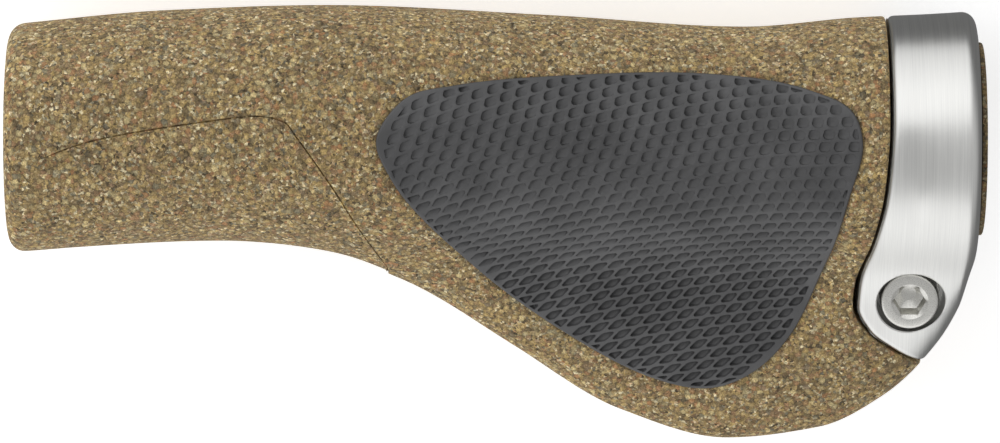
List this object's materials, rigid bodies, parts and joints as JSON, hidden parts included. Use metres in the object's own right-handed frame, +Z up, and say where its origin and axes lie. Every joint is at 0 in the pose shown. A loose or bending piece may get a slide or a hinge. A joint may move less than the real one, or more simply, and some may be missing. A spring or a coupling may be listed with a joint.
{
  "type": "handlebar grip",
  "caption": "Winged clamp-on handlebar grip: cork and rubber body, textured black palm pad, brushed aluminium end clamp with a socket head bolt, and a bar end plug.",
  "frame": {"origin": "on the handlebar's axis, at the inboard end face of the grip", "axes": "+X along the bar towards its end, -Y towards the rider on the wing's side, +Z up along the clamp bolt towards its head"},
  "size_m": [0.135, 0.0626, 0.0353],
  "materials": {
    "cork_compound": "matt cork and rubber compound, speckled with granules 0.3 to 1 mm across",
    "black_rubber": "satin black rubber with a moulded scale pattern",
    "brushed_aluminium": "brushed round the ring",
    "stainless_steel": "machined, satin",
    "black_nylon": "matt glass-filled nylon"
  },
  "bodies": {
    "grip": {"core_sleeve": "black_nylon", "grip_body": "cork_compound", "palm_pad": "black_rubber"},
    "clamp_ring": {"clamp": "brushed_aluminium", "clamp_nut": "stainless_steel"},
    "washer": {"bolt_washer": "stainless_steel"},
    "bolt": {"clamp_bolt": "stainless_steel"},
    "bar_plug": {"plug_body": "black_nylon", "end_cap": "cork_compound"}
  },
  "joints": [
    {"name": "clamp_pull_off", "type": "slide", "parent": "grip", "child": "clamp_ring", "axis": [1, 0, 0], "range_m": [0, 0.016]},
    {"name": "bolt_travel", "type": "slide", "parent": "clamp_ring", "child": "washer", "axis": [0, 0, 1], "range_m": [0, 0.0056]},
    {"name": "bolt_turn", "type": "hinge", "parent": "washer", "child": "bolt", "pos_m": [0.125, -0.0212, 0.003], "axis": [0, 0, 1], "range_deg": [0, 2520]},
    {"name": "plug_pull_out", "type": "slide", "parent": "clamp_ring", "child": "bar_plug", "axis": [1, 0, 0], "range_m": [0, 0.03]}
  ],
  "couplings": [
    {"joint": "bolt_turn", "follows": "bolt_travel", "rad_per_m": 7853.9}
  ]
}
